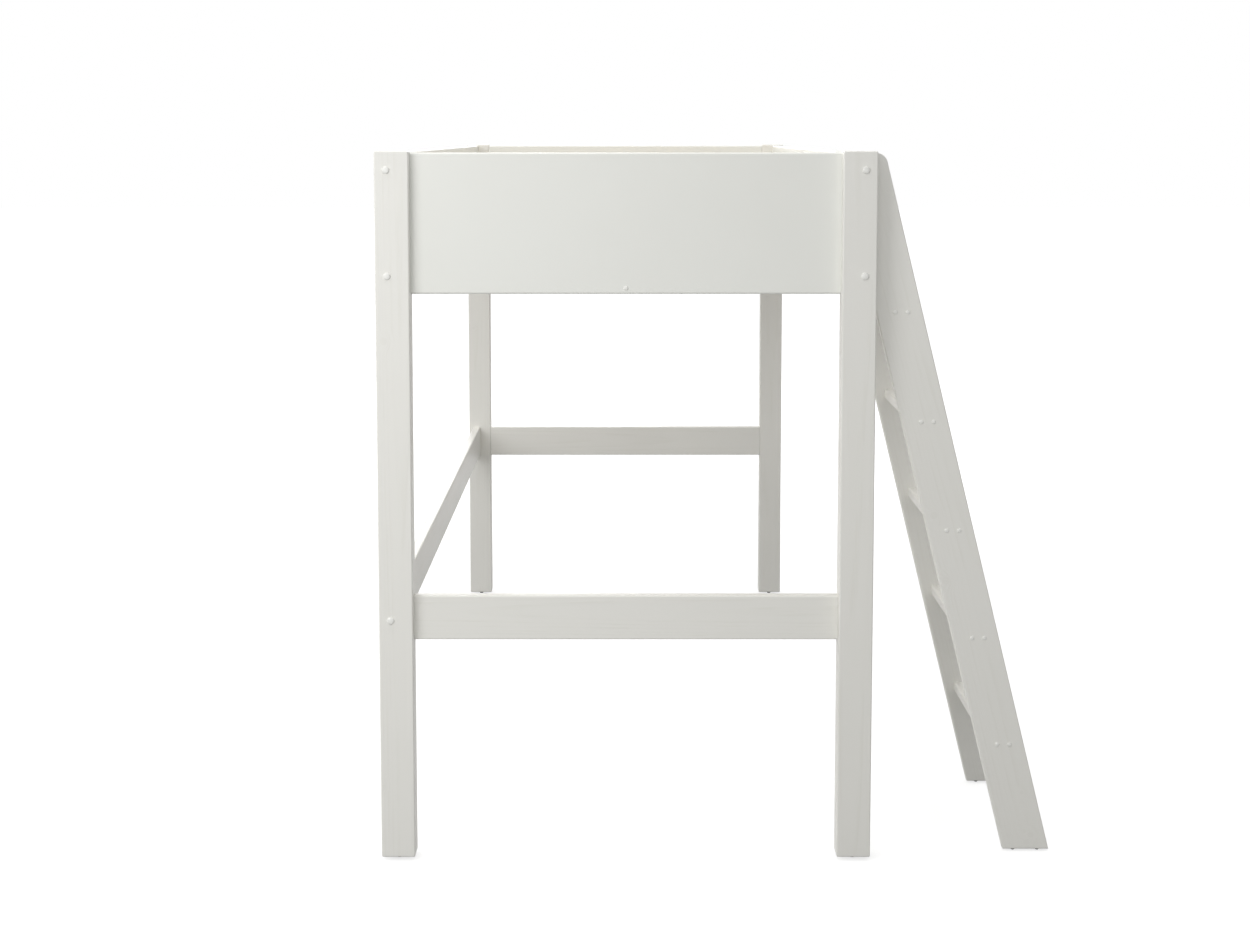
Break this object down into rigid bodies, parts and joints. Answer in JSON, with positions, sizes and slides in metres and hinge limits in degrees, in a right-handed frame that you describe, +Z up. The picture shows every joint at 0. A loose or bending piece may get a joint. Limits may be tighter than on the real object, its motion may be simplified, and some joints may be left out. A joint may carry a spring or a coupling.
{
  "type": "high sleeper bed",
  "caption": "Raised single bed on square posts with panelled sides, a slatted base, low rails and a slanted ladder bolted beside an entry cut-out.",
  "frame": {"origin": "on the floor, in the middle of the whole footprint with the ladder", "axes": "+Z up, +Y along the bed away from the ladder's end, +X from the wall side towards the ladder side"},
  "size_m": [1.3636, 2.107, 1.435],
  "materials": {
    "white_paint": "satin white paint on pine",
    "bare_pine": "planed, untreated pine",
    "beech": "turned beech",
    "zinc_steel": "zinc plated",
    "cap_plastic": "satin white plastic",
    "glide_plastic": "dark grey plastic",
    "ribbon": "woven cotton webbing"
  },
  "bodies": {
    "root": {"post_front_left": "white_paint", "post_front_right": "white_paint", "post_back_left": "white_paint", "post_back_right": "white_paint", "end_panel_left": "white_paint", "end_panel_right": "white_paint", "end_rail_left": "white_paint", "end_rail_right": "white_paint", "ladder_stringer_left": "white_paint", "ladder_stringer_right": "white_paint", "side_panel_front": "white_paint", "side_panel_back": "white_paint", "back_rail": "white_paint", "ladder_step_1": "white_paint", "ladder_step_2": "white_paint", "ladder_step_3": "white_paint", "ladder_step_4": "white_paint", "ladder_step_5": "white_paint", "slat_batten_front": "bare_pine", "slat_batten_back": "bare_pine", "slat_batten_left": "bare_pine", "slat_batten_right": "bare_pine", "slat_01": "bare_pine", "slat_02": "bare_pine", "slat_03": "bare_pine", "slat_04": "bare_pine", "slat_05": "bare_pine", "slat_06": "bare_pine", "slat_07": "bare_pine", "slat_08": "bare_pine", "slat_09": "bare_pine", "slat_10": "bare_pine", "slat_11": "bare_pine", "slat_12": "bare_pine", "slat_13": "bare_pine", "slat_14": "bare_pine", "slat_ribbon_front": "ribbon", "slat_ribbon_back": "ribbon", "post_bolts": "zinc_steel", "bolt_caps": "cap_plastic", "bolt_inserts": "zinc_steel", "ladder_bolts": "zinc_steel", "ladder_inserts": "zinc_steel", "end_frame_dowels": "beech", "back_rail_dowels": "beech", "batten_screws": "zinc_steel", "slat_screws": "zinc_steel", "step_screws": "zinc_steel", "step_screw_caps": "cap_plastic", "end_batten_screws": "zinc_steel", "end_panel_screw_caps": "cap_plastic", "post_glides": "glide_plastic", "ladder_glides": "glide_plastic"}
  },
  "joints": []
}
